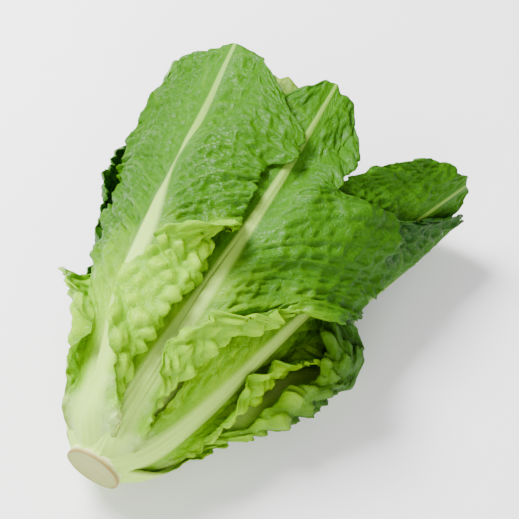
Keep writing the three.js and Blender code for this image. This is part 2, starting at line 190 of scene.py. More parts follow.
OUTER_LEAVES = [
    {
        "name": "right_leaf",
        "turn": -64,
        "left_width": 1.1,
        "right_width": 1.12,
        "outline": [0.19, 0.32, 0.8, 0.92, 1, 1, 0.74],
        "lean": [8, 48, 28, 12, 13, 10],
        "yaw": [0, -3, -8, -16],
        "tilt": -8,
        "right": LONG_ROLL,
    },
    {
        "name": "right_side_leaf",
        "turn": -106,
        "length": 0.94,
        "left_width": 0.84,
        "right_width": 1.04,
        "outline": BROAD,
        "lean": [8, 47, 22, 1, 7, 12],
        "left": SHORT_ROLL,
        "deep": 0.9,
        "crinkle": 1.4,
    },
    {
        "name": "centre_leaf",
        "turn": -12,
        "length": 0.96,
        "left_width": 0.96,
        "right_width": 1.24,
        "outline": [0.19, 0.32, 0.8, 0.96, 1, 0.7, 0.5],
        "right_outline": [0.19, 0.32, 0.8, 1.16, 0.96, 0.56, 0.5],
        "wrap": (1, 0.6),
        "lobe": 0.5,
        "notch": 0.25,
        "lean": [8, 48, 29, 11, 6, 8],
        "yaw": [0, 1, 2, 4],
        "tilt": -12,
        "right": MIDDLE_ROLL,
        "deep": 0.1,
    },
    {
        "name": "left_side_leaf",
        "turn": 70,
        "length": 0.98,
        "right_width": 1.1,
        "left_width": 1.1,
        "lean": [8, 48, 30, 13, 10, 8],
        "yaw": [0, 3, 8, 10],
    },
    {
        "name": "left_leaf",
        "turn": 24,
        "length": 0.985,
        "left_width": 1.3,
        "right_width": 1.3,
        "outline": [0.19, 0.32, 0.8, 0.98, 1.04, 1, 0.64],
        "right_outline": [0.19, 0.42, 0.92, 0.66, 0.68, 0.9, 0.62],
        "lean": [8, 50, 29, 11, 6, 6],
        "yaw": [0, 4, 9, 3],
        "left": LOW_ROLL,
        "right": LONG_ROLL,
    },
    {
        "name": "lower_left_leaf",
        "turn": 126,
        "length": 0.88,
        "left_width": 0.96,
        "right_width": 0.96,
        "lean": [8, 50, 29, 11, 6, 4],
        "rows": 130,
        "columns": 100,
        "deep": 0.5,
    },
    {
        "name": "under_leaf",
        "turn": 172,
        "length": 0.88,
        "lean": [8, 48, 29, 9, 4, 2],
        "rows": 130,
        "columns": 100,
        "deep": 0.4,
    },
]

# From the heart outwards, because each leaf is laid over the ones before it
LEAVES = [
    {**LEAF_DEFAULTS, **leaf}
    for leaf in [inner_leaf(k) for k in range(INNER_LEAVES)] + MIDDLE_LEAVES + OUTER_LEAVES
]


def ramp(x, start, end):
    """Rises smoothly from 0 at start to 1 at end."""
    t = np.clip((x - start) / (end - start), 0, 1)
    return t * t * (3 - 2 * t)


def lerp(a, b, t):
    """A share t of the way from a to b."""
    return a + (b - a) * t


def curve(stations, values, at):
    """A smooth curve through values at stations, held level past its ends."""
    stations = np.asarray(stations, float)
    values = np.asarray(values, float)
    last = len(stations) - 1
    index = np.arange(last + 1)
    before = np.maximum(index - 1, 0)
    after = np.minimum(index + 1, last)
    slopes = (values[after] - values[before]) / (stations[after] - stations[before])
    x = np.clip(at, stations[0], stations[-1])
    k = np.clip(np.searchsorted(stations, x, side="left") - 1, 0, last - 1)
    h = stations[k + 1] - stations[k]
    t = (x - stations[k]) / h
    return (
        (2 * t**3 - 3 * t**2 + 1) * values[k]
        + (t**3 - 2 * t**2 + t) * h * slopes[k]
        + (3 * t**2 - 2 * t**3) * values[k + 1]
        + (t**3 - t**2) * h * slopes[k + 1]
    )


NOISE_CELLS = 64


def noise(x, y, seed):
    """Smooth noise from -1 to 1, with one feature to each unit of x and y."""
    table = np.random.default_rng(seed).uniform(-1, 1, (NOISE_CELLS, NOISE_CELLS))
    i = np.floor(x).astype(int)
    j = np.floor(y).astype(int)
    fx = ramp(x - i, 0, 1)
    fy = ramp(y - j, 0, 1)

    def at(di, dj):
        return table[(i + di) % NOISE_CELLS, (j + dj) % NOISE_CELLS]

    return lerp(lerp(at(0, 0), at(1, 0), fx), lerp(at(0, 1), at(1, 1), fx), fy)


def cells(x, y, seed):
    """How far a point is from the border of its cell: 0 on the border, nearly 1 at the middle."""
    offsets = np.random.default_rng(seed).uniform(0.1, 0.9, (2, NOISE_CELLS, NOISE_CELLS))
    i = np.floor(x).astype(int)
    j = np.floor(y).astype(int)
    nearest = np.full(np.shape(x), 9.0)
    second = nearest.copy()
    for di in (-1, 0, 1):
        for dj in (-1, 0, 1):
            ci = (i + di) % NOISE_CELLS
            cj = (j + dj) % NOISE_CELLS
            distance = np.hypot(i + di + offsets[0, ci, cj] - x, j + dj + offsets[1, ci, cj] - y)
            second = np.minimum(second, np.maximum(nearest, distance))
            nearest = np.minimum(nearest, distance)
    return np.clip(second - nearest, 0, 1)


def core_radius(x):
    """The radius of the stem's core at a distance along it."""
    share = np.clip((x - CUT_DISC_LENGTH) / (CORE_LENGTH - CUT_DISC_LENGTH), 0, 1)
    return lerp(CORE_RADIUS, CORE_TIP_RADIUS, share)


def turned(vectors, axes, angle):
    """Vectors turned about unit axes by an angle in radians."""
    along = (vectors * axes).sum(-1, keepdims=True)
    return (
        vectors * math.cos(angle)
        + np.cross(axes, vectors) * math.sin(angle)
        + axes * along * (1 - math.cos(angle))
    )


MIDRIB_STEPS = 60


def midrib(leaf, length):
    """Points down a leaf's midrib, and the ways along, out and to the left at each."""
    turn = math.radians(leaf["turn"])
    axis = np.array([1.0, 0, 0])
    outwards = np.array([0, math.sin(turn), math.cos(turn)])
    sideways = np.array([0, math.cos(turn), -math.sin(turn)])
    s = np.linspace(0, 1, MIDRIB_STEPS + 1)
    lean = np.radians(curve(LEAN_AT, leaf["lean"], s))[:, None]
    yaw = np.radians(curve(YAW_AT, leaf["yaw"], s))[:, None]
    along = np.cos(yaw) * (np.cos(lean) * axis + np.sin(lean) * outwards) + np.sin(yaw) * sideways
    out = np.cos(lean) * outwards - np.sin(lean) * axis
    left = np.cross(out, along)
    left /= np.linalg.norm(left, axis=1, keepdims=True)
    tilt = -math.radians(leaf["tilt"])
    first = outwards * (core_radius(leaf["start"]) + BASE_GAP) + axis * leaf["start"]
    steps = along * length / MIDRIB_STEPS
    steps[0] = first
    return np.cumsum(steps, axis=0), along, turned(out, along, tilt), turned(left, along, tilt)


# The flat pattern
ROW_POWER = 1.15  # draws the grid's rows together towards the base
VEIN_SWEEP = 0.75
TIP_ROUNDING = 0.5
LOBE_AT = 0.68
NOTCH_AT = 0.8
NOTCH_LENGTH = 0.1
TIP_LOBE_HEIGHT = 3.5
TIP_LOBES_ACROSS = 6

# The section across a leaf
SECTION_STEPS = 40
LEAST_WRAP_RADIUS = 8
RIB_SHARPNESS = 0.3
RIB_RIDGE_TURNS = 1.9
RIB_RIDGE_HEIGHT = 0.06

# Veins and blisters
VEIN_SPACING = 14
VEIN_LEAD = 21  # how far a side vein has run forwards where it is a centimetre from the rib
VEIN_HALF_WIDTH = 0.65
VEIN_SINK = 0.35
BLISTER_LENGTH = 9
BLISTER_WIDTH = 7
SMALL_BLISTER_LENGTH = 4.2
SMALL_BLISTER_WIDTH = 3.6
SMALL_BLISTER_SHARE = 0.22
CELL_SHIFT = 20  # where on its noise a leaf's base reads its blisters
SIDES_APART = 9  # how far apart its two sides read them

# Ripples of a flat leaf: seed, length and width of a feature, and how far apart its two sides read the noise
LOBES = (0, 13, math.inf, 3.3)
SMALL_LOBES = (1, 5, math.inf, 7.7)
TEETH = (14, 2.6, math.inf, 5.9)
VEIN_WANDER = (3, 25, 35, 1.7)
VEIN_FADE = (14, 17, 22, 3.3)
FRILL = (6, 10, 30, 2.9)
FINE_FRILL = (7, 4.5, 15, 5.1)
WAVE = (8, 38, 30, 4.1)
SLIP = (9, 8, 25, 6.3)
PLEATS = (10, 7, 60, 9)
FINE_PLEATS = (11, 3.2, 30, 9)
CRUMPLE = (12, 15, 14, 5)
RUFFLE = (13, 6, 6, 9)
SLIP_SHIFT = 248  # sets the slip of an edge apart from the other ripples


def ripple(flat, kind, row=None):
    """Smooth noise over a flat leaf, from -1 to 1, with features of one kind."""
    seed, length, width, apart = kind
    row = flat.row if row is None else row
    return noise(row / length, flat.side * apart + flat.distance / width, flat.seed + seed)


def hump(u, at):
    """1 at a station of the leaf, falling to 0 within a few NOTCH_LENGTH of it."""
    return np.exp(-(((u - at) / NOTCH_LENGTH) ** 2))


def flat_leaf(leaf, sizes):
    """The leaf before it bends: where each point of its grid is along it and across it."""
    u, v = np.meshgrid(
        np.linspace(0, 1, leaf["rows"] + 1) ** ROW_POWER,
        np.linspace(-1, 1, leaf["columns"] + 1),
        indexing="ij",
    )
    flat = SimpleNamespace(u=u, v=v, off=np.abs(v), side=np.where(v >= 0, 1, -1), distance=0)
    flat.length = leaf["length"] * sizes.leaf_length / MM
    flat.seed = sum(map(ord, leaf["name"]))
    flat.row = u * flat.length
    flat.crinkle = leaf["crinkle"]

    half = sizes.leaf_half_width / MM * np.where(v >= 0, leaf["left_width"], leaf["right_width"])
    right_outline = leaf["right_outline"] or leaf["outline"]
    outline = np.where(v >= 0, curve(WIDTH_AT, leaf["outline"], u), curve(WIDTH_AT, right_outline, u))
    dip = np.where(v < 0, leaf["notch"] * hump(u, NOTCH_AT), 0)
    flat.width = half * outline * (1 - dip)

    uneven = 0.07 * (ripple(flat, LOBES) + 0.7 * ripple(flat, SMALL_LOBES)) + 0.03 * ripple(flat, TEETH)
    ragged = 1 + uneven * flat.off**4 * ramp(u, 0.06, 0.2) * (1.3 - 0.8 * ramp(u, 0.4, 0.7))
    lobe = np.where(v < 0, leaf["lobe"] * hump(u, LOBE_AT), 0)
    forward = VEIN_SWEEP * ramp(u, 0.02, 0.25) * (1 - ramp(u, 0.35, 0.85)) + lobe
    drop = TIP_ROUNDING * half * ramp(u, 0.55, 1) * flat.off**2.2
    tip_lobes = TIP_LOBE_HEIGHT * noise(v * TIP_LOBES_ACROSS, 0.5 + 0 * v, flat.seed + 2) * ramp(u, 0.85, 1)
    flat.s = (flat.row + flat.width * flat.off * forward - drop + tip_lobes) / flat.length
    flat.t = np.clip(flat.s, 0, 1)
    flat.across = v * flat.width * ragged
    flat.distance = np.abs(flat.across)
    return flat


def bent_leaf(leaf, flat):
    """The leaf on its bent midrib, wrapped round the head, with its margins rolled over."""
    points, along, out, left = midrib(leaf, flat.length)
    at = flat.t * MIDRIB_STEPS
    k = np.minimum(at.astype(int), MIDRIB_STEPS - 1)
    between = (at - k)[..., None]
    point, along, out, left = (
        lerp(values[k], values[k + 1], between) for values in (points, along, out, left)
    )
    point = point + along * ((flat.s - flat.t) * flat.length)[..., None]

    def of_margin(which):
        values = [curve(ROLL_AT, leaf[key][which], flat.s) for key in ("left", "right")]
        return np.where(flat.v >= 0, values[0], values[1])

    roll_angle = np.radians(of_margin(0))
    fold_to = flat.width * (1 - of_margin(1))
    fold_from = np.maximum(fold_to - FOLD_WIDTH, FOLD_CLEAR_OF_RIB * flat.width)
    wrap_radius = np.maximum(np.hypot(point[..., 1], point[..., 2]), LEAST_WRAP_RADIUS)
    wrap_radius = wrap_radius / np.where(flat.v >= 0, *leaf["wrap"])
    step = flat.distance / SECTION_STEPS
    angle, roll, sideways, outwards = (np.zeros_like(step) for _ in range(4))
    for n in range(1, SECTION_STEPS + 1):
        following = roll_angle * ramp(n * step, fold_from, fold_to)
        angle += following - roll - np.cos(roll) * step / wrap_radius
        roll = following
        sideways += np.cos(angle) * step
        outwards += np.sin(angle) * step
    normal = left * (-flat.side * np.sin(angle))[..., None] + out * np.cos(angle)[..., None]
    point = point + left * (flat.side * sideways)[..., None] + out * outwards[..., None]
    return point, normal, along, roll


def leaf_thickness(leaf, flat, sizes):
    """A thin blade with a keeled and finely ridged midrib."""
    share = np.clip(1 - (flat.across / flat.rib_half) ** 2, 0, 1)
    keel = np.exp(-((flat.across / (RIB_SHARPNESS * flat.rib_half)) ** 2))
    ridges = RIB_RIDGE_HEIGHT * np.cos(flat.across * RIB_RIDGE_TURNS) * share
    rib_height = leaf["rib"] * sizes.rib_thickness / MM * (1 - flat.t) ** 1.2
    return sizes.blade_thickness / MM + rib_height * (0.75 * share**0.8 + 0.25 * keel + ridges)


def veins_and_blisters(flat, rolled, sizes):
    """The side veins, the blisters between them, and how far the blade stands out because of them."""
    swept = flat.row - VEIN_LEAD * np.sqrt(flat.distance / 10) * (1 - 0.5 * flat.t)
    phase = swept / VEIN_SPACING + 0.25 * flat.side + 0.9 * ripple(flat, VEIN_WANDER)
    from_vein = np.abs(phase - np.round(phase)) * VEIN_SPACING
    vein_half = VEIN_HALF_WIDTH * (1.5 - 0.8 * flat.distance / np.maximum(flat.width, 1))
    vein = np.exp(-((from_vein / vein_half) ** 2)) * ramp(flat.distance, 0, flat.rib_half + 3)
    vein *= ramp(flat.u, 0.05, 0.2) * np.clip(0.6 + 0.9 * ripple(flat, VEIN_FADE), 0.12, 1)

    def blisters(length, width, seed):
        place = flat.side * SIDES_APART + flat.distance / width
        return cells(flat.row / length + CELL_SHIFT, place, flat.seed + seed)

    branch = blisters(BLISTER_LENGTH, BLISTER_WIDTH, 4)
    small = blisters(SMALL_BLISTER_LENGTH, SMALL_BLISTER_WIDTH, 5)
    pillow = ramp(branch, 0, 0.55) * (1 - np.exp(-((from_vein / (2.4 * vein_half)) ** 2)))
    lively = flat.crinkle * flat.clear_of_rib * (0.62 + 0.3 * flat.lower * flat.off + 0.45 * rolled)
    swell = pillow + SMALL_BLISTER_SHARE * ramp(small, 0, 0.6) - VEIN_SINK * vein
    masks = {
        "crease": (1 - ramp(branch, 0, 0.16)) * flat.clear_of_rib,
        "vein": vein,
        "pillow": pillow * flat.clear_of_rib,
    }
    return masks, swept, sizes.blister_height / MM * lively * swell


def waves_and_folds(flat, rolled, swept, sizes):
    """How far a blade stands out in waves, frills and pleats, and how far its frilled edge slips along it."""
    edge = ramp(flat.off, 0.7, 1)
    frill = ripple(flat, FRILL) + 0.6 * ripple(flat, FINE_FRILL)
    ruffle = ripple(flat, RUFFLE) * rolled * flat.clear_of_rib
    wave = ripple(flat, WAVE) * ramp(flat.off, 0.25, 0.85)
    height = sizes.frill_height / MM * flat.crinkle * ramp(flat.u, 0.08, 0.25)
    waves = height * (edge * frill * (0.6 + 0.9 * rolled) + 0.6 * wave + 0.4 * ruffle)
    pleats = ripple(flat, PLEATS, swept) + 0.5 * ripple(flat, FINE_PLEATS, swept)
    folds = pleats * (0.35 + 0.65 * flat.lower) * (1 - rolled) + 0.8 * ripple(flat, CRUMPLE)
    folds = sizes.fold_height / MM * flat.crinkle * flat.clear_of_rib * folds
    slip = 0.5 * height * edge * ripple(flat, SLIP, flat.row + SLIP_SHIFT)
    return waves + folds, slip


def leaf_surface(leaf, sizes):
    """A leaf's inner face before it is laid: its points, its outward normals, and what is where on it."""
    flat = flat_leaf(leaf, sizes)
    flat.rib_half = leaf["rib"] * RIB_HALF_WIDTH * (1 - flat.t) ** 1.15 + RIB_TIP_HALF_WIDTH
    flat.clear_of_rib = ramp(flat.distance, flat.rib_half * 0.9, flat.rib_half + 9)
    flat.lower = 1 - ramp(flat.s, 0.45, 0.75)
    point, normal, along, roll = bent_leaf(leaf, flat)
    rolled = ramp(roll, 0.5, 1.9)
    masks, swept, relief = veins_and_blisters(flat, rolled, sizes)
    waves, slip = waves_and_folds(flat, rolled, swept, sizes)
    masks |= {
        "along": flat.t,
        "rib": np.clip(1.08 - flat.distance / flat.rib_half, 0, 1),
        "margin": flat.off * ramp(flat.u, 0, 0.03),
        "rolled": rolled,
        "deep": np.full_like(flat.t, leaf["deep"]),
    }
    own_place = np.full_like(flat.t, 100.0 * (flat.seed % 37))  # so that the leaves' textures differ
    return {
        "point": point - normal * (relief + waves)[..., None] + along * slip[..., None],
        "normal": normal,
        "thick": leaf_thickness(leaf, flat, sizes),
        "roll": roll,
        "masks": masks,
        "sheet": np.stack([flat.row, flat.across, own_place], -1),
    }


# Laying the leaves over each other

CELL_LENGTH = 2
CELL_TURN = math.radians(2.5)
CELLS_LONG = 200
CELLS_ROUND = 144
CELLS_FROM = -10


class Reach:
    """How far out from the axis the leaves laid so far go, in cells along it and round it."""

    def __init__(self):
        self.cells = np.zeros((CELLS_LONG, CELLS_ROUND))

    def corners(self, p):
        x = np.clip((p[..., 0] - CELLS_FROM) / CELL_LENGTH, 0, CELLS_LONG - 2)
        turn = np.arctan2(p[..., 1], p[..., 2]) / CELL_TURN + CELLS_ROUND
        i = x.astype(int)
        j = np.floor(turn).astype(int)
        ids = [(i + di, (j + dj) % CELLS_ROUND) for di in (0, 1) for dj in (0, 1)]
        return ids, x - i, turn - j

    def lay_down(self, p):
        distance = np.hypot(p[..., 1], p[..., 2])
        for index in self.corners(p)[0]:
            np.maximum.at(self.cells, index, distance)

    def lay_down_core(self):
        x = np.arange(2 * CUT_DISC_LENGTH, CORE_LENGTH, 0.5)[:, None]
        turn = CELL_TURN * (np.arange(CELLS_ROUND) + 0.5)[None]
        radius = core_radius(x)
        parts = np.broadcast_arrays(x, radius * np.sin(turn), radius * np.cos(turn))
        self.lay_down(np.stack(parts, -1))

    def short_of(self, p):
        """How far each point is from clearing what is under it."""
        ids, fx, ft = self.corners(p)
        a, b, c, d = (self.cells[index] for index in ids)
        under = lerp(lerp(a, b, ft), lerp(c, d, ft), fx)
        short = under + LEAF_GAP - np.hypot(p[..., 1], p[..., 2])
        return np.where(under > 0, np.maximum(short, 0), 0)


def shifted(values, by, axis):
    """Values moved along an axis, with the end ones repeated."""
    count = values.shape[axis]
    return np.take(values, np.clip(np.arange(count) + by, 0, count - 1), axis=axis)


DRAPE_REACH = 0.05  # how far each push spreads, as a share of the sheet


def draped(push):
    """Spreads pushes to their surroundings, so that a leaf drapes smoothly and clears what is under it."""
    for combine in (np.max, np.mean):
        for axis in (0, 1):
            reach = round(push.shape[axis] * DRAPE_REACH)
            push = combine([shifted(push, by, axis) for by in range(-reach, reach + 1)], axis=0)
    return push


FLAP_FROM = math.radians(80)
BASE_SHARE = 0.09  # the share of a leaf, from its base, that closes in on the stem


def push_out(points, push):
    """Moves points away from the head's axis."""
    share = 1 + push / np.maximum(np.hypot(points[..., 1], points[..., 2]), 1)
    points[..., 1] *= share
    points[..., 2] *= share


def lay_leaf(leaf, reach, sizes):
    """Lays one leaf over the ones before it, and then its rolled margins over its own blade."""
    laid = leaf_surface(leaf, sizes)
    point = laid["point"]
    flap = laid["roll"] > FLAP_FROM
    push = draped(np.where(flap, 0, reach.short_of(point)))
    middle = leaf["columns"] // 2
    for k in range(1, middle + 1):
        for column, before in ((middle + k, middle + k - 1), (middle - k, middle - k + 1)):
            push[:, column] = np.where(flap[:, column], push[:, before], push[:, column])
    push_out(point, push * ramp(laid["masks"]["along"], 0, BASE_SHARE))
    outer = point + laid["normal"] * laid["thick"][..., None]
    reach.lay_down(outer[~flap])
    push = draped(np.where(flap, reach.short_of(outer), 0))
    push_out(point, push * ramp(laid["roll"], FLAP_FROM, 1.3 * FLAP_FROM))
    outer = point + laid["normal"] * laid["thick"][..., None]
    reach.lay_down(outer)
    reach.lay_down(point)
    return laid


def spread(p):
    """A point of the round head, moved to where it is in the head that lies spread out on its side."""
    x, y, z = np.moveaxis(p, -1, 0)
    z = z * curve(SPREAD_AT, SPREAD_UPWARDS, x) + curve(SPREAD_AT, SAG, x)
    under = np.maximum(0, PRESS_BELOW - z)
    y = y * np.where(y > 0, curve(SPREAD_AT, SPREAD_LEFT, x), curve(SPREAD_AT, SPREAD_RIGHT, x))
    return np.stack([x, y, z + PRESS_SHARE * under**2 / (under + PRESS_EASE) + RISE * x], -1)


def head_origin():
    """Where the centre of the round head's cut face is in the frame, in metres, without its sag."""
    low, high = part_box("stem")
    return np.array([low.x, (low.y + high.y) / 2, high.z - (STEM_RADIUS + SAG[0]) * MM])


SIZE_NAMES = (
    "leaf_length",
    "leaf_half_width",
    "blade_thickness",
    "rib_thickness",
    "blister_height",
    "frill_height",
    "fold_height",
)


class Sizes:
    """The sizes of a settings group, kept so that leaves laid with them are found again."""

    def __init__(self, settings):
        for name in SIZE_NAMES:
            setattr(self, name, getattr(settings, name))

    def __hash__(self):
        return hash(tuple(sorted(vars(self).items())))

    def __eq__(self, other):
        return vars(self) == vars(other)


@functools.lru_cache(maxsize=1)
def laid_leaves(sizes):
    """Every leaf's surface, laid in order from the heart outwards."""
    reach = Reach()
    reach.lay_down_core()
    return {leaf["name"]: lay_leaf(leaf, reach, sizes) for leaf in LEAVES}


# Materials


def group_of(name, inputs, outputs):
    """A new shader node group with these sockets, and its input and output nodes."""
    tree = bpy.data.node_groups.new(name, "ShaderNodeTree")
    for socket, kind, value in inputs:
        made = tree.interface.new_socket(name=socket, in_out="INPUT", socket_type=kind)
        if value is not None:
            made.default_value = value
    for socket, kind in outputs:
        tree.interface.new_socket(name=socket, in_out="OUTPUT", socket_type=kind)
    return tree, tree.nodes.new("NodeGroupInput"), tree.nodes.new("NodeGroupOutput")


def math_node(tree, operation, a, b=None, clamp=False):
    """The output of a Math node on values or sockets."""
    node = tree.nodes.new("ShaderNodeMath")
    node.operation = operation
    node.use_clamp = clamp
    for socket, value in zip(node.inputs, (a, b)):
        if isinstance(value, (int, float)):
            socket.default_value = value
        elif value is not None:
            tree.links.new(value, socket)
    return node.outputs[0]


def product(tree, a, b):
    """The output of a Math node that multiplies."""
    return math_node(tree, "MULTIPLY", a, b)


def mix_colours(tree, factor, a, b, blend="MIX"):
    """The colour output of a Mix node on colours or sockets."""
    node = tree.nodes.new("ShaderNodeMix")
    node.data_type = "RGBA"
    node.blend_type = blend
    for key, value in (("Factor_Float", factor), ("A_Color", a), ("B_Color", b)):
        socket = next(s for s in node.inputs if s.identifier == key)
        if isinstance(value, (int, float)):
            socket.default_value = value
        elif isinstance(value, (tuple, list)):
            socket.default_value = value
        else:
            tree.links.new(value, socket)
    return next(s for s in node.outputs if s.identifier == "Result_Color")


def range_node(tree, value, from_min, from_max, to_min=0.0, to_max=1.0):
    """The output of a smooth Map Range node."""
    node = tree.nodes.new("ShaderNodeMapRange")
    node.interpolation_type = "SMOOTHSTEP"
    tree.links.new(value, node.inputs["Value"])
    node.inputs["From Min"].default_value = from_min
    node.inputs["From Max"].default_value = from_max
    node.inputs["To Min"].default_value = to_min
    node.inputs["To Max"].default_value = to_max
    return node.outputs["Result"]


def noise_node(tree, vector, scale, detail=3.0):
    """The value output of a Noise Texture node."""
    node = tree.nodes.new("ShaderNodeTexNoise")
    node.inputs["Scale"].default_value = scale
    node.inputs["Detail"].default_value = detail
    tree.links.new(vector, node.inputs["Vector"])
    return node.outputs["Fac"]


@functools.lru_cache(maxsize=None)
def veining_group():
    """The net of fine veins in a leaf blade, from its flat coordinates in millimetres."""
    tree, given, result = group_of(
        "Leaf veining",
        [("Flat", "NodeSocketVector", None), ("Rib", "NodeSocketFloat", 0.0)],
        [("Net", "NodeSocketFloat"), ("Height", "NodeSocketFloat"), ("Mottle", "NodeSocketFloat")],
    )
    voronoi = tree.nodes.new("ShaderNodeTexVoronoi")
    voronoi.feature = "DISTANCE_TO_EDGE"
    voronoi.inputs["Scale"].default_value = 0.42
    tree.links.new(given.outputs["Flat"], voronoi.inputs["Vector"])
    net = range_node(tree, voronoi.outputs["Distance"], 0.0, 0.12, 1.0, 0.0)
    net = product(tree, net, math_node(tree, "SUBTRACT", 1.0, given.outputs["Rib"], clamp=True))
    grain = noise_node(tree, given.outputs["Flat"], 1.4, 4.0)
    stretch = tree.nodes.new("ShaderNodeMapping")
    stretch.inputs["Scale"].default_value = (0.04, 1.3, 1.0)
    tree.links.new(given.outputs["Flat"], stretch.inputs["Vector"])
    fibres = product(tree, noise_node(tree, stretch.outputs[0], 1.0, 3.0), given.outputs["Rib"])
    height = math_node(tree, "MULTIPLY_ADD", net, -0.5)
    tree.links.new(product(tree, grain, 0.25), height.node.inputs[2])
    height = math_node(tree, "ADD", height, product(tree, fibres, 0.6))
    tree.links.new(net, result.inputs["Net"])
    tree.links.new(height, result.inputs["Height"])
    tree.links.new(noise_node(tree, given.outputs["Flat"], 0.06, 4.0), result.inputs["Mottle"])
    return tree


LEAF_MASKS = ("Along", "Rib", "Vein", "Crease", "Pillow", "Margin", "Rolled", "Deep")
LEAF_COLOURS = ("Base colour", "Lower colour", "Upper colour", "Deep colour", "Rib colour", "Vein colour")
# Painted shade: this tint, and the strength two lines below, darken the hollows between a leaf's blisters
PAINTED_HOLLOW_SHADE_TINT = (0.3, 0.5, 0.15, 1)
SEAM_TINT = (0.5, 0.5, 0.16, 1)
PAINTED_HOLLOW_SHADE_STRENGTH = 0.55
VEIN_STRENGTH = 0.34
CREASE_STRENGTH = 0.22
NET_STRENGTH = 0.12
SEAM_STRENGTH = 0.8
ROLLED_STRENGTH = 0.9  # how far a rolled margin keeps the colour of the lower blade
MOTTLE_SHIFT = 0.3  # how unevenly one colour gives way to the next


@functools.lru_cache(maxsize=None)
def leaf_colour_group():
    """A leaf's colour from the masks that its mesh carries, with painted shade in the hollows between its
    blisters.
    """
    tree, given, result = group_of(
        "Leaf colour",
        [(name, "NodeSocketFloat", 0.0) for name in (*LEAF_MASKS, "Net", "Mottle")]
        + [(name, "NodeSocketColor", None) for name in LEAF_COLOURS],
        [("Color", "NodeSocketColor")],
    )
    get = given.outputs
    mottled = math_node(tree, "MULTIPLY_ADD", get["Mottle"], MOTTLE_SHIFT)
    tree.links.new(get["Along"], mottled.node.inputs[2])
    along = math_node(tree, "SUBTRACT", mottled, MOTTLE_SHIFT / 2)
    blade = mix_colours(tree, range_node(tree, along, 0.0, 0.14), get["Base colour"], get["Lower colour"])
    flat = math_node(tree, "SUBTRACT", 1.0, product(tree, get["Rolled"], ROLLED_STRENGTH))
    upper = product(tree, range_node(tree, along, 0.22, 0.58), flat)
    blade = mix_colours(tree, upper, blade, get["Upper colour"])

    outwards = product(tree, get["Deep"], range_node(tree, get["Margin"], 0.05, 0.75))
    outwards = product(tree, outwards, range_node(tree, along, 0.12, 0.45))
    blade = mix_colours(tree, outwards, blade, get["Deep colour"])

    # Painted shade: the hollows between the blisters are darkened, away from the midrib
    painted_hollow_shade = math_node(tree, "SUBTRACT", 1.0, get["Pillow"], clamp=True)
    off_rib = product(tree, range_node(tree, get["Margin"], 0.15, 0.4), PAINTED_HOLLOW_SHADE_STRENGTH)
    blade = mix_colours(tree, product(tree, painted_hollow_shade, off_rib), blade, PAINTED_HOLLOW_SHADE_TINT, "MULTIPLY")

    vein = product(tree, get["Vein"], VEIN_STRENGTH)
    vein = math_node(tree, "MAXIMUM", vein, product(tree, get["Crease"], CREASE_STRENGTH))
    vein = math_node(tree, "MAXIMUM", vein, product(tree, get["Net"], NET_STRENGTH))
    blade = mix_colours(tree, vein, blade, get["Vein colour"])

    fade = range_node(tree, get["Along"], 0.25, 0.9, 1.0, 0.35)
    rib = product(tree, range_node(tree, get["Rib"], 0.0, 0.55), fade)
    blade = mix_colours(tree, rib, blade, get["Rib colour"])

    base = range_node(tree, along, 0.12, 0.3, SEAM_STRENGTH, 0.0)
    seam = product(tree, range_node(tree, get["Margin"], 0.75, 1.0), base)
    blade = mix_colours(tree, seam, blade, SEAM_TINT, "MULTIPLY")
    tree.links.new(blade, result.inputs["Color"])
    return tree


def rgba(colour):
    """A colour with full alpha."""
    return (*colour, 1.0)


def attribute_of(tree, name, output="Fac"):
    """The output of an Attribute node that reads a value kept in the mesh."""
    node = tree.nodes.new("ShaderNodeAttribute")
    node.attribute_name = name
    return node.outputs[output]


def bumps(tree, height, strength, distance):
    """The normal output of a Bump node."""
    node = tree.nodes.new("ShaderNodeBump")
    node.inputs["Strength"].default_value = strength
    node.inputs["Distance"].default_value = distance
    tree.links.new(height, node.inputs["Height"])
    return node.outputs["Normal"]


def leaf_material(name, settings, lightness):
    """Leaf skin: pale at the base, greener towards the tip and margins, with veins and a soft gloss."""
    material = bpy.data.materials.new(name)
    material.use_nodes = True
    tree = material.node_tree
    shader = tree.nodes["Principled BSDF"]
    veining = tree.nodes.new("ShaderNodeGroup")
    veining.node_tree = veining_group()
    tree.links.new(attribute_of(tree, "sheet", "Vector"), veining.inputs["Flat"])
    colour = tree.nodes.new("ShaderNodeGroup")
    colour.node_tree = leaf_colour_group()
    for mask in LEAF_MASKS:
        value = attribute_of(tree, mask.lower())
        tree.links.new(value, colour.inputs[mask])
        if mask == "Rib":
            tree.links.new(value, veining.inputs["Rib"])
    for output in ("Net", "Mottle"):
        tree.links.new(veining.outputs[output], colour.inputs[output])
    for socket in LEAF_COLOURS:
        value = getattr(settings, socket.lower().replace(" ", "_"))
        lightened = [lerp(c, heart, lightness) for c, heart in zip(value, settings.heart_colour)]
        colour.inputs[socket].default_value = rgba(lightened)
    tree.links.new(colour.outputs["Color"], shader.inputs["Base Color"])
    tree.links.new(bumps(tree, veining.outputs["Height"], 0.5, 0.0007), shader.inputs["Normal"])
    roughness = range_node(tree, veining.outputs["Mottle"], 0.3, 0.7, 0.34, 0.46)
    tree.links.new(roughness, shader.inputs["Roughness"])
    shader.inputs["Subsurface Weight"].default_value = 0.12
    shader.inputs["Subsurface Radius"].default_value = (0.4, 0.7, 0.15)
    shader.inputs["Subsurface Scale"].default_value = 0.004
    shader.inputs["Specular IOR Level"].default_value = 0.12
    return material


def clear_selection():
    """Deselects everything, so that the next operator works on its own new object only."""
    for chosen in list(bpy.context.selected_objects):
        chosen.select_set(False)


REST_LAYER = 0.5  # how far off the surface the leaves above the lowest one stay, in millimetres


def places_of(mesh):
    """A mesh's vertices as rows of x, y and z."""
    flat = np.zeros(len(mesh.vertices) * 3)
    mesh.vertices.foreach_get("co", flat)
    return flat.reshape(-1, 3)


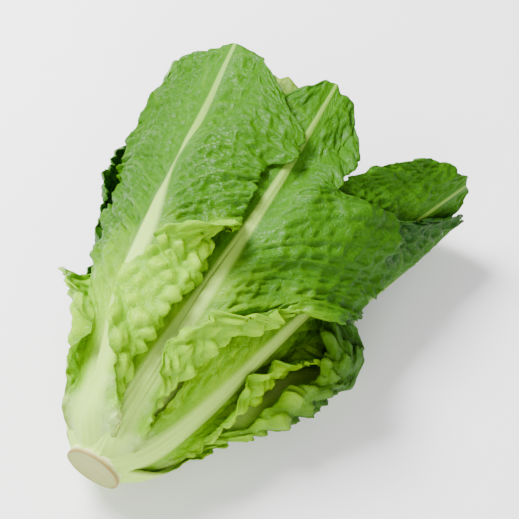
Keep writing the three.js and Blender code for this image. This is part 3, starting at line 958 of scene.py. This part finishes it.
def add_attribute(mesh, name, values, kind="FLOAT", key="value"):
    """Keeps one value for each vertex in the mesh, for its material to read."""
    mesh.attributes.new(name, kind, "POINT").data.foreach_set(key, values.ravel())


def leaf_object(leaf, laid, material):
    """One leaf as a grid that takes the laid surface's places, with a thick midrib and a thin blade."""
    rows, columns = leaf["rows"], leaf["columns"]
    clear_selection()
    bpy.ops.mesh.primitive_grid_add(x_subdivisions=columns, y_subdivisions=rows, size=1)
    made = bpy.context.object
    made.name = f"look_{leaf['name']}"
    mesh = made.data
    mesh.name = made.name
    grid = places_of(mesh)
    j = np.rint((grid[:, 0] + 0.5) * columns).astype(int)
    i = np.rint((grid[:, 1] + 0.5) * rows).astype(int)
    places = spread(laid["point"][i, j]) * MM + head_origin()
    mesh.vertices.foreach_set("co", places.ravel())
    for name, values in laid["masks"].items():
        add_attribute(mesh, name, values[i, j])
    add_attribute(mesh, "sheet", laid["sheet"][i, j], "FLOAT_VECTOR", "vector")
    thick = laid["thick"][i, j]
    group = made.vertex_groups.new(name="thickness")
    for index, weight in enumerate((thick / thick.max()).tolist()):
        group.add([index], weight, "REPLACE")
    bpy.ops.object.modifier_add(type="SOLIDIFY")
    wall = made.modifiers[-1]
    wall.thickness = float(thick.max()) * MM
    wall.offset = -1
    wall.vertex_group = "thickness"
    wall.use_quality_normals = True
    bpy.ops.object.modifier_apply(modifier=wall.name)
    solid = places_of(mesh)
    floor = 0 if leaf["name"] == "under_leaf" else REST_LAYER * MM
    solid[:, 2] = np.maximum(solid[:, 2], floor)
    mesh.vertices.foreach_set("co", solid.ravel())
    mesh.update()
    bpy.ops.object.shade_smooth()
    mesh.materials.append(material)
    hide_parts(leaf["name"])
    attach(made, "root")
    leaf["slot"]
    return made


def make_leaves(context, slot, lightness):
    """Makes the leaves of one slot, with a material that is this far faded to the heart's colour."""
    settings = context.scene.lettuce
    laid = laid_leaves(Sizes(settings))
    material = leaf_material(slot, settings, lightness)
    for leaf in LEAVES:
        if leaf["slot"] == slot:
            leaf_object(leaf, laid[leaf["name"]], material)
    return {"FINISHED"}


# Stem

STEM_SEGMENTS = 128
STEM_RINGS = 64
# The stem's outline from the middle of its cut face to its tip: distance along the axis, and radius
STEM_OUTLINE_AT = [0, 0.3, 0.42, 0.46, 0.5, 0.54, 0.62, 0.7, 1]
STEM_OUTLINE_ALONG = [1.1, 0.7, 0.25, 0.0, 0.35, 1.6, 7, 13, 72]
STEM_OUTLINE_RADIUS = [0, 10.5, 15.2, 16.6, 17.3, 17.2, 16.9, 13.5, 1.2]


def stem_material(settings):
    """Pale flesh with a browned rim and faint rings, and greener skin behind the cut."""
    material = bpy.data.materials.new("stem")
    material.use_nodes = True
    tree = material.node_tree
    shader = tree.nodes["Principled BSDF"]
    radius = attribute_of(tree, "radius")
    place = attribute_of(tree, "sheet", "Vector")
    mottle = noise_node(tree, place, 0.16, 5.0)
    fine = noise_node(tree, place, 0.9, 4.0)
    uneven = math_node(tree, "MULTIPLY_ADD", mottle, 0.22)
    tree.links.new(radius, uneven.node.inputs[2])
    outer = range_node(tree, uneven, 0.35, 0.95)
    face = mix_colours(tree, outer, rgba(settings.cut_colour), rgba(settings.cut_edge_colour))
    inner_edge = range_node(tree, uneven, 0.98, 1.07)
    ring = math_node(tree, "SUBTRACT", inner_edge, range_node(tree, uneven, 1.12, 1.2))
    face = mix_colours(tree, product(tree, ring, 0.75), face, rgba(settings.rim_colour))
    specks = product(tree, range_node(tree, fine, 0.5, 0.75), 0.18)
    face = mix_colours(tree, specks, face, rgba(settings.rim_colour))
    colour = mix_colours(tree, attribute_of(tree, "behind"), face, rgba(settings.base_colour))
    tree.links.new(colour, shader.inputs["Base Color"])
    height = math_node(tree, "ADD", mottle, product(tree, fine, 0.5))
    tree.links.new(bumps(tree, height, 0.6, 0.0006), shader.inputs["Normal"])
    tree.links.new(range_node(tree, fine, 0.3, 0.7, 0.42, 0.6), shader.inputs["Roughness"])
    shader.inputs["Subsurface Weight"].default_value = 0.04
    shader.inputs["Specular IOR Level"].default_value = 0.12
    shader.inputs["Subsurface Scale"].default_value = 0.003
    return material


def make_stem(settings):
    """The cut stem from a ball whose rings take the places of the stem's outline."""
    clear_selection()
    bpy.ops.mesh.primitive_uv_sphere_add(segments=STEM_SEGMENTS, ring_count=STEM_RINGS, radius=1)
    made = bpy.context.object
    made.name = "look_stem"
    mesh = made.data
    x, y, z = places_of(mesh).T
    share = np.arccos(np.clip(-z, -1, 1)) / math.pi
    turn = np.arctan2(y, x)
    radius = np.interp(share, STEM_OUTLINE_AT, STEM_OUTLINE_RADIUS)
    along = np.interp(share, STEM_OUTLINE_AT, STEM_OUTLINE_ALONG)
    cut = 1 - ramp(share, 0.52, 0.6)
    lobes = 0.35 * noise(turn * 2.2 + 9, 0 * turn, 5) + 0.2 * noise(turn * 6 + 9, 0 * turn, 6)
    grown = radius * (1 + 0.03 * lobes * cut * ramp(radius, 8, 16))
    sideways, upwards = -grown * np.cos(turn), grown * np.sin(turn)
    rough = 0.25 * noise(9 - sideways / 4, 9 + upwards / 4, 7)
    along = along + cut * rough * ramp(along, 0, 0.4)
    p = np.stack([along, sideways, upwards], -1)
    places = spread(p) * MM + head_origin()
    places[:, 0] = np.maximum(places[:, 0], head_origin()[0])
    mesh.vertices.foreach_set("co", places.ravel())
    add_attribute(mesh, "radius", radius / STEM_RADIUS)
    add_attribute(mesh, "behind", 1 - cut)
    add_attribute(mesh, "sheet", p, "FLOAT_VECTOR", "vector")
    mesh.update()
    bpy.ops.object.mode_set(mode="EDIT")
    bpy.ops.mesh.select_all(action="SELECT")
    bpy.ops.mesh.normals_make_consistent(inside=False)
    bpy.ops.object.mode_set(mode="OBJECT")
    bpy.ops.object.shade_smooth()
    mesh.materials.append(stem_material(settings))
    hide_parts("stem")
    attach(made, "root")
    return made


# Stage, in metres

CAMERA_AZIMUTH = math.radians(-59.6)
CAMERA_ELEVATION = math.radians(56)
CAMERA_DISTANCE = 1.15
CAMERA_LENS = 138
CAMERA_ASIDE = 0.0968
CAMERA_ABOVE = 0.1217
FLOOR_SIZE = 6
FLOOR_ROUGHNESS = 0.9
HEAD_MIDDLE = (0, 0, 0.05)
KEY_LIGHT_PLACE = (0.15, 0.65, 0.95)
KEY_LIGHT_SIZE = 0.55
SIDE_LIGHT_PLACE = (-0.75, -0.5, 0.6)
SIDE_LIGHT_SIZE = 0.8
SIDE_LIGHT_SHARE = 0.25


def aimed(thing, at):
    """Turns a light to point at a place."""
    thing.rotation_euler = (Vector(at) - thing.location).to_track_quat("-Z", "Y").to_euler()


def make_light(name, place, energy, size):
    """A soft square light that points at the middle of the head."""
    clear_selection()
    bpy.ops.object.light_add(type="AREA", location=place)
    light = bpy.context.object
    light.name = name
    light.data.energy = energy
    light.data.size = size
    aimed(light, HEAD_MIDDLE)


def make_floor(settings):
    """A plain pale floor."""
    clear_selection()
    bpy.ops.mesh.primitive_plane_add(size=FLOOR_SIZE, location=(0, 0, 0))
    floor = bpy.context.object
    floor.name = "floor"
    material = bpy.data.materials.new("floor")
    material.use_nodes = True
    shader = material.node_tree.nodes["Principled BSDF"]
    shader.inputs["Base Color"].default_value = rgba(settings.floor_colour)
    shader.inputs["Roughness"].default_value = FLOOR_ROUGHNESS
    floor.data.materials.append(material)
    floor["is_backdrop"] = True


def make_camera(scene):
    """The camera, placed from the middle of the cut face."""
    across = Vector((math.cos(CAMERA_AZIMUTH), math.sin(CAMERA_AZIMUTH), 0))
    forward = Vector((-math.sin(CAMERA_AZIMUTH), math.cos(CAMERA_AZIMUTH), 0))
    back = Vector((0, 0, math.sin(CAMERA_ELEVATION))) - forward * math.cos(CAMERA_ELEVATION)
    up = back.cross(across)
    cut_face = Vector(head_origin()) + Vector((0, 0, SAG[0] * MM))
    place = cut_face + back * CAMERA_DISTANCE + across * CAMERA_ASIDE + up * CAMERA_ABOVE
    bpy.ops.object.camera_add(location=place)
    camera = bpy.context.object
    camera.rotation_euler = (-back).to_track_quat("-Z", "Y").to_euler()
    camera.data.lens = CAMERA_LENS
    camera.data.sensor_width = 36
    scene.camera = camera


def make_stage(scene, settings):
    """The floor, the light from all round, two soft lights and the camera."""
    make_floor(settings)
    world = bpy.data.worlds.new("studio")
    scene.world = world
    world.use_nodes = True
    world.node_tree.nodes["Background"].inputs["Color"].default_value = (1, 1, 1, 1)
    world.node_tree.nodes["Background"].inputs["Strength"].default_value = settings.ambient_light
    make_light("key", KEY_LIGHT_PLACE, settings.key_light, KEY_LIGHT_SIZE)
    make_light("side", SIDE_LIGHT_PLACE, settings.key_light * SIDE_LIGHT_SHARE, SIDE_LIGHT_SIZE)
    make_camera(scene)


# Add-on


def colour_property(name, description, default):
    return bpy.props.FloatVectorProperty(
        name=name, description=description, default=default, subtype="COLOR", size=3, min=0, max=1
    )


def length_property(name, description, default):
    return bpy.props.FloatProperty(name=name, description=description, default=default, min=0, unit="LENGTH")


class LettuceSettings(bpy.types.PropertyGroup):
    """The sizes and colours of the head."""

    leaf_length: length_property("Leaf length", "An outer leaf along its midrib", 0.29)
    leaf_half_width: length_property("Leaf half width", "An outer leaf from midrib to margin", 0.05)
    blade_thickness: length_property("Blade thickness", "Thickness of a leaf away from its midrib", 0.0007)
    rib_thickness: length_property("Rib thickness", "What the midrib adds at the base of a leaf", 0.0037)
    blister_height: length_property("Blister height", "How far the blade swells between its veins", 0.0029)
    frill_height: length_property("Frill height", "How far the margins wave", 0.0042)
    fold_height: length_property("Fold height", "How far the blade puckers along its veins", 0.003)
    base_colour: colour_property("Base", "A leaf at its base", (0.74, 0.86, 0.38))
    lower_colour: colour_property("Lower blade", "The lower half of a leaf", (0.25, 0.49, 0.001))
    upper_colour: colour_property("Upper blade", "The upper half of a leaf", (0.032, 0.125, 0.001))
    deep_colour: colour_property("Deep green", "The darkest, bluish leaves", (0.008, 0.05, 0.008))
    rib_colour: colour_property("Midrib", "The midrib", (0.42, 0.66, 0.1))
    vein_colour: colour_property("Veins", "The side veins", (0.11, 0.27, 0.004))
    heart_colour: colour_property("Heart", "What the inner leaves fade to", (0.5, 0.6, 0.08))
    cut_colour: colour_property("Cut face", "The middle of the cut face", (0.35, 0.37, 0.12))
    cut_edge_colour: colour_property("Cut face edge", "The cut face near its rim", (0.31, 0.36, 0.1))
    rim_colour: colour_property("Browned rim", "The rim of the cut face", (0.27, 0.17, 0.05))
    floor_colour: colour_property("Floor", "The floor", (0.92, 0.92, 0.92))
    key_light: bpy.props.FloatProperty(
        name="Key light", description="Power of the main light", default=50, min=0, unit="POWER"
    )
    ambient_light: bpy.props.FloatProperty(
        name="Ambient light", description="Strength of the light from all round", default=0.6, min=0
    )


INNER_LIGHTNESS = 0.6  # how far the leaves of a ring fade to the heart's colour
MIDDLE_LIGHTNESS = 0.2


class LETTUCE_OT_inner_leaves(bpy.types.Operator):
    """Makes the leaves of the heart"""

    bl_idname = "lettuce.inner_leaves"
    bl_label = "Inner leaves"

    def execute(self, context):
        return make_leaves(context, "inner_leaf", INNER_LIGHTNESS)


class LETTUCE_OT_middle_leaves(bpy.types.Operator):
    """Makes the ring of leaves round the heart"""

    bl_idname = "lettuce.middle_leaves"
    bl_label = "Middle leaves"

    def execute(self, context):
        return make_leaves(context, "middle_leaf", MIDDLE_LIGHTNESS)


class LETTUCE_OT_outer_leaves(bpy.types.Operator):
    """Makes the outer leaves with their rolled margins"""

    bl_idname = "lettuce.outer_leaves"
    bl_label = "Outer leaves"

    def execute(self, context):
        return make_leaves(context, "outer_leaf", 0)


class LETTUCE_OT_stem(bpy.types.Operator):
    """Makes the stem with its cut face"""

    bl_idname = "lettuce.stem"
    bl_label = "Stem"

    def execute(self, context):
        make_stem(context.scene.lettuce)
        return {"FINISHED"}


class LETTUCE_OT_stage(bpy.types.Operator):
    """Makes the floor, the lights and the camera"""

    bl_idname = "lettuce.stage"
    bl_label = "Stage"

    def execute(self, context):
        make_stage(context.scene, context.scene.lettuce)
        return {"FINISHED"}


OPERATORS = (
    LETTUCE_OT_inner_leaves,
    LETTUCE_OT_middle_leaves,
    LETTUCE_OT_outer_leaves,
    LETTUCE_OT_stem,
    LETTUCE_OT_stage,
)


class LETTUCE_PT_panel(bpy.types.Panel):
    """Lists the head's sizes, colours and pieces"""

    bl_idname = "LETTUCE_PT_panel"
    bl_label = "Romaine lettuce"
    bl_space_type = "VIEW_3D"
    bl_region_type = "UI"
    bl_category = "Lettuce"

    def draw(self, context):
        for name in LettuceSettings.__annotations__:
            self.layout.prop(context.scene.lettuce, name)
        for operator in OPERATORS:
            self.layout.operator(operator.bl_idname)


CLASSES = (LettuceSettings, *OPERATORS, LETTUCE_PT_panel)


def register():
    for cls in CLASSES:
        bpy.utils.register_class(cls)
    bpy.types.Scene.lettuce = bpy.props.PointerProperty(type=LettuceSettings)


def unregister():
    del bpy.types.Scene.lettuce
    for cls in reversed(CLASSES):
        bpy.utils.unregister_class(cls)


def main():
    register()
    bpy.ops.lettuce.inner_leaves()
    bpy.ops.lettuce.middle_leaves()
    bpy.ops.lettuce.outer_leaves()
    bpy.ops.lettuce.stem()
    bpy.ops.lettuce.stage()
    boxes = {"cad": cad_bounds, "visual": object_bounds()}
    {name: [list(corner) for corner in box] for name, box in boxes.items()}


if __name__ == "__main__":
    main()
